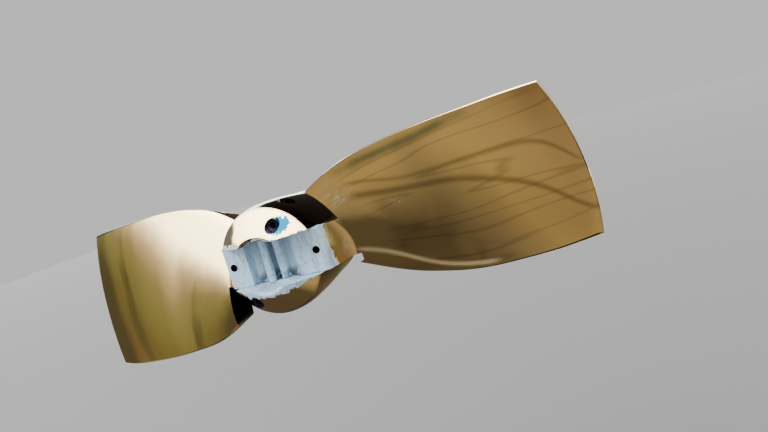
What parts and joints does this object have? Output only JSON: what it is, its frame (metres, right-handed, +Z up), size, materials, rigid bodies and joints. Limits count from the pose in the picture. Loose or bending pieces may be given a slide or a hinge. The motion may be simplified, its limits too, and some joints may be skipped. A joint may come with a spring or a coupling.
{
  "type": "two-blade folding boat propeller",
  "caption": "Geared folding propeller: bronze hub with a slot, two blades that fold aft on pivot pins and mesh with each other, and a splined sleeve for the shaft.",
  "frame": {"origin": "on the shaft's axis, in the hub's flat front face", "axes": "+Y forward along the shaft, +X along the right blade, +Z up along the pivot pins"},
  "size_m": [0.4098, 0.1038, 0.1282],
  "materials": {
    "bronze": "polished, worn",
    "stainless": "machined",
    "dark_steel": "dark, oiled"
  },
  "bodies": {
    "hub": {"hub": "bronze", "pivot_pin_right": "stainless", "pivot_pin_left": "stainless", "lock_screw_right": "dark_steel", "lock_screw_left": "dark_steel", "shaft_bolt": "stainless", "bolt_washer": "stainless", "spline_sleeve": "stainless"},
    "blade_right": {"blade_right": "bronze"},
    "blade_left": {"blade_left": "bronze"}
  },
  "joints": [
    {"name": "blade_right_fold", "type": "hinge", "parent": "hub", "child": "blade_right", "pos_m": [0.0141, -0.072, 0], "axis": [0, 0, -1], "range_deg": [0, 90]},
    {"name": "blade_left_fold", "type": "hinge", "parent": "hub", "child": "blade_left", "pos_m": [-0.0141, -0.072, 0], "axis": [0, 0, 1], "range_deg": [0, 90]}
  ],
  "couplings": [
    {"joint": "blade_left_fold", "follows": "blade_right_fold", "ratio": 1}
  ]
}
